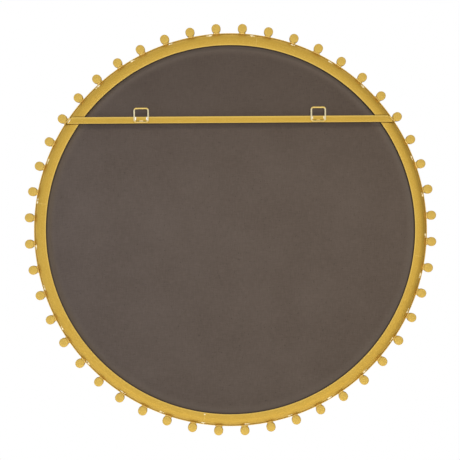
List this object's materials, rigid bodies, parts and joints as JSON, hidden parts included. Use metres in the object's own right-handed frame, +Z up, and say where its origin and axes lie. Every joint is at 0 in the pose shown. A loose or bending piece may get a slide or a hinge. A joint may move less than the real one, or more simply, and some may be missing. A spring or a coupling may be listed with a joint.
{
  "type": "round wall mirror",
  "caption": "Round wall mirror in a shallow gold metal tray frame with small beads round its edge, a dark backing board and a hanging bar with wire loops across the back.",
  "frame": {"origin": "middle of the mirror on the wall plane, which the backs of the hang loops touch", "axes": "+Z up, +Y into the wall, the glass looks along -Y, and +X is to the left as seen from behind"},
  "size_m": [0.8108, 0.0298, 0.8108],
  "materials": {
    "gold_lacquer": "satin gold lacquer on steel",
    "brown_board": "matte brown-faced fibreboard",
    "silvered_glass": "silvered float glass",
    "mirror_mastic": "set mastic",
    "clear_silicone": "cured silicone"
  },
  "bodies": {
    "root": {"rim_hoop": "gold_lacquer", "back_flange": "gold_lacquer", "flange_tack_welds": "gold_lacquer", "hanging_bar": "gold_lacquer", "hang_loop_left": "gold_lacquer", "hang_loop_right": "gold_lacquer", "hanger_welds": "gold_lacquer", "bead_welds": "gold_lacquer", "edge_bead_01": "gold_lacquer", "edge_bead_02": "gold_lacquer", "edge_bead_03": "gold_lacquer", "edge_bead_04": "gold_lacquer", "edge_bead_05": "gold_lacquer", "edge_bead_06": "gold_lacquer", "edge_bead_07": "gold_lacquer", "edge_bead_08": "gold_lacquer", "edge_bead_09": "gold_lacquer", "edge_bead_10": "gold_lacquer", "edge_bead_11": "gold_lacquer", "edge_bead_12": "gold_lacquer", "edge_bead_13": "gold_lacquer", "edge_bead_14": "gold_lacquer", "edge_bead_15": "gold_lacquer", "edge_bead_16": "gold_lacquer", "edge_bead_17": "gold_lacquer", "edge_bead_18": "gold_lacquer", "edge_bead_19": "gold_lacquer", "edge_bead_20": "gold_lacquer", "edge_bead_21": "gold_lacquer", "edge_bead_22": "gold_lacquer", "edge_bead_23": "gold_lacquer", "edge_bead_24": "gold_lacquer", "edge_bead_25": "gold_lacquer", "edge_bead_26": "gold_lacquer", "edge_bead_27": "gold_lacquer", "edge_bead_28": "gold_lacquer", "edge_bead_29": "gold_lacquer", "edge_bead_30": "gold_lacquer", "edge_bead_31": "gold_lacquer", "edge_bead_32": "gold_lacquer", "edge_bead_33": "gold_lacquer", "edge_bead_34": "gold_lacquer", "edge_bead_35": "gold_lacquer", "edge_bead_36": "gold_lacquer", "edge_bead_37": "gold_lacquer", "edge_bead_38": "gold_lacquer", "edge_bead_39": "gold_lacquer", "edge_bead_40": "gold_lacquer", "edge_bead_41": "gold_lacquer", "edge_bead_42": "gold_lacquer", "edge_bead_43": "gold_lacquer", "edge_bead_44": "gold_lacquer", "edge_bead_45": "gold_lacquer", "edge_bead_46": "gold_lacquer", "edge_bead_47": "gold_lacquer", "edge_bead_48": "gold_lacquer", "backing_board": "brown_board", "mirror_glass": "silvered_glass", "mirror_adhesive": "mirror_mastic", "board_sealant": "clear_silicone"}
  },
  "joints": []
}
